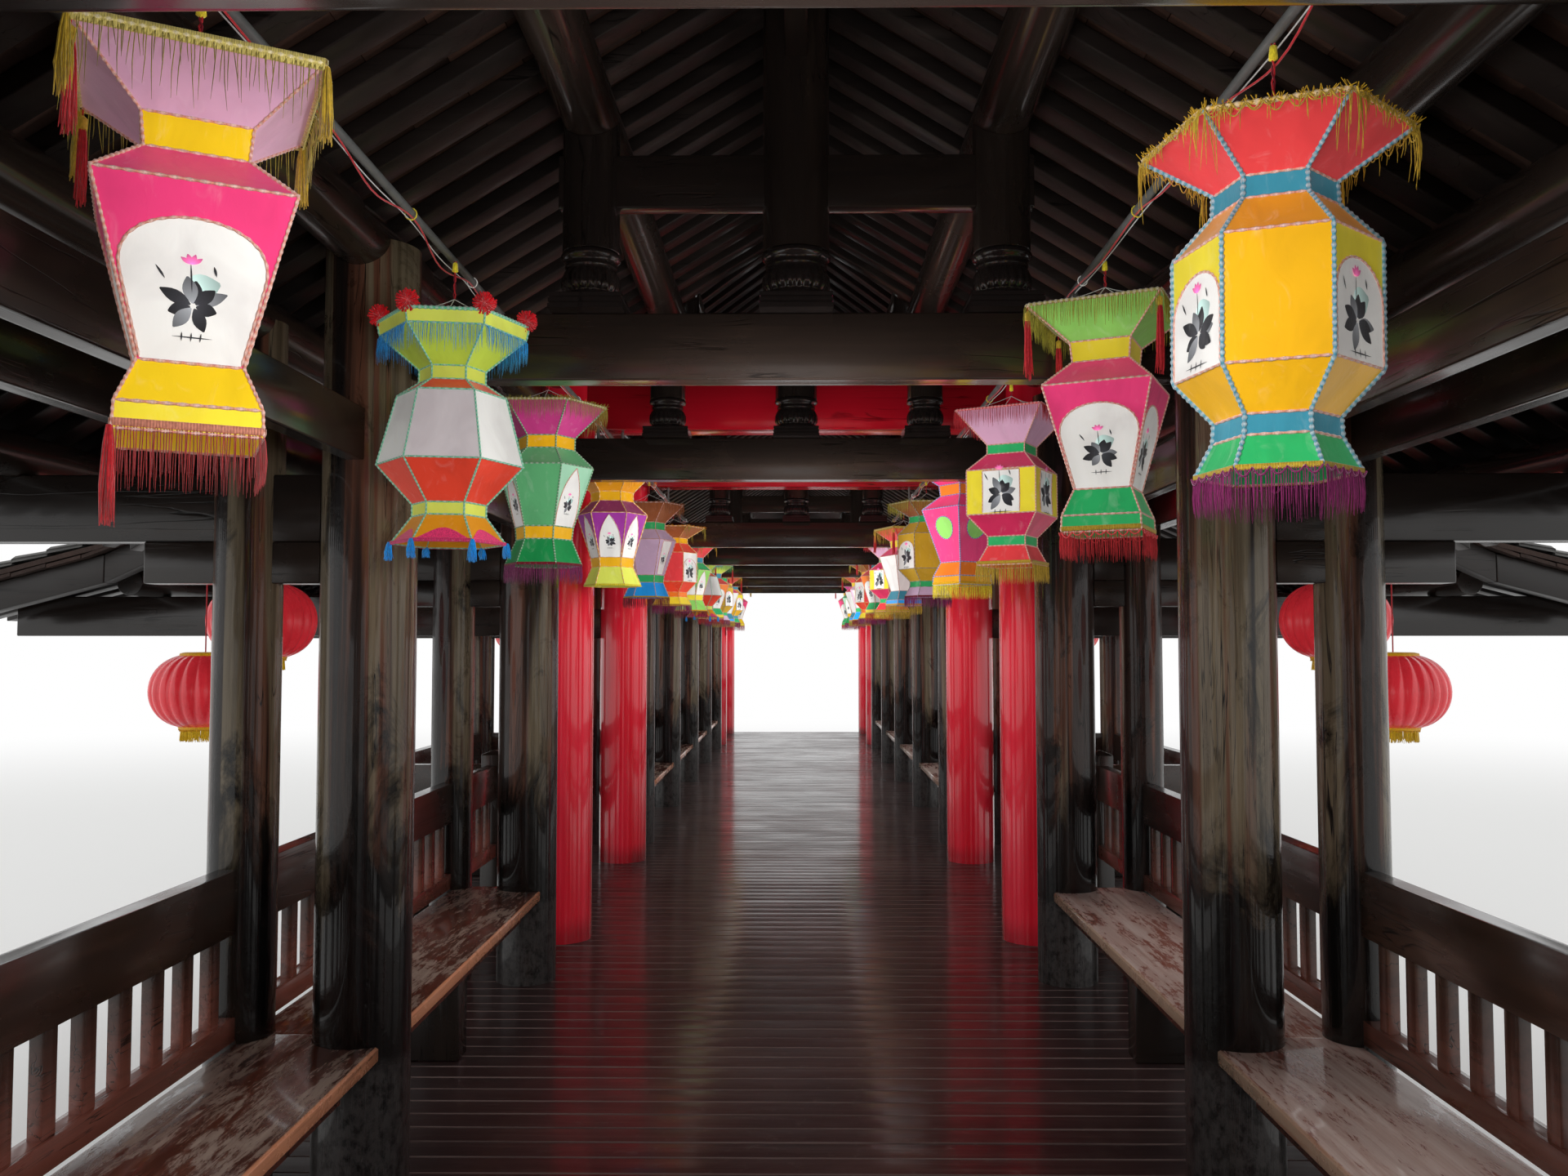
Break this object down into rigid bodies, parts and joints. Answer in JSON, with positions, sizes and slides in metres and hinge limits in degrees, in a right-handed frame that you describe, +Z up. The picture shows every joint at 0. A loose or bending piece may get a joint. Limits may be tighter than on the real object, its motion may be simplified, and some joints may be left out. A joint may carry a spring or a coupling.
{
  "type": "covered bridge",
  "caption": "Covered timber footbridge with colonnaded galleries, wider red-columned pavilions, bench seats, low railings, tiled roofs and hanging silk lanterns.",
  "frame": {"origin": "on the ground, centred under the middle of the bridge", "axes": "+Y along the walkway, +X across it to the right, +Z up"},
  "size_m": [9.4, 30.6, 6.0267],
  "materials": {
    "pier_stone": "rough dressed stone",
    "floor_timber": "glossy oxblood floor paint, worn",
    "deck_timber": "weathered brown timber",
    "dark_lacquer": "dark brown lacquer, glossy, worn",
    "beam_lacquer": "near-black brown lacquer, satin",
    "bench_timber": "reddish brown varnish, worn through",
    "red_lacquer": "vermilion lacquer, glossy",
    "roof_tile": "unglazed grey clay tile",
    "rod_metal": "grey paint, satin",
    "hexagonal_silk": "dyed silk in several bright colours",
    "square_silk": "dyed silk in several bright colours",
    "red_silk": "red satin cloth on ribs"
  },
  "bodies": {
    "root": {"stone_piers": "pier_stone", "pier_caps": "pier_stone", "deck_girders": "deck_timber", "deck_joists": "deck_timber", "gallery_decks": "floor_timber", "pavilion_decks": "floor_timber", "inner_columns": "dark_lacquer", "outer_columns": "dark_lacquer", "tie_beams": "beam_lacquer", "post_plinths": "beam_lacquer", "lotus_bases": "beam_lacquer", "king_posts": "beam_lacquer", "queen_posts": "beam_lacquer", "collar_beams": "beam_lacquer", "eave_beams": "beam_lacquer", "bracket_boards": "beam_lacquer", "inner_tie_boards": "beam_lacquer", "outer_tie_boards": "beam_lacquer", "ridge_tie_boards": "beam_lacquer", "ridge_purlins": "beam_lacquer", "queen_purlins": "beam_lacquer", "inner_purlins": "beam_lacquer", "outer_purlins": "beam_lacquer", "eave_purlins": "beam_lacquer", "gallery_rafters": "beam_lacquer", "gallery_roofs": "roof_tile", "gallery_ridge_caps": "roof_tile", "railings": "dark_lacquer", "newel_posts": "dark_lacquer", "bench_boards": "bench_timber", "bench_bearers": "dark_lacquer", "bench_fascias": "bench_timber", "red_columns": "red_lacquer", "pavilion_columns": "dark_lacquer", "red_beams": "red_lacquer", "pavilion_eave_beams": "beam_lacquer", "pavilion_tie_boards": "red_lacquer", "pavilion_purlins": "beam_lacquer", "pavilion_rafters": "beam_lacquer", "pavilion_roofs": "roof_tile", "pavilion_ridge_caps": "roof_tile", "lantern_rods": "rod_metal", "hexagonal_lanterns": "hexagonal_silk", "square_lanterns": "square_silk", "round_lanterns": "red_silk"}
  },
  "joints": []
}
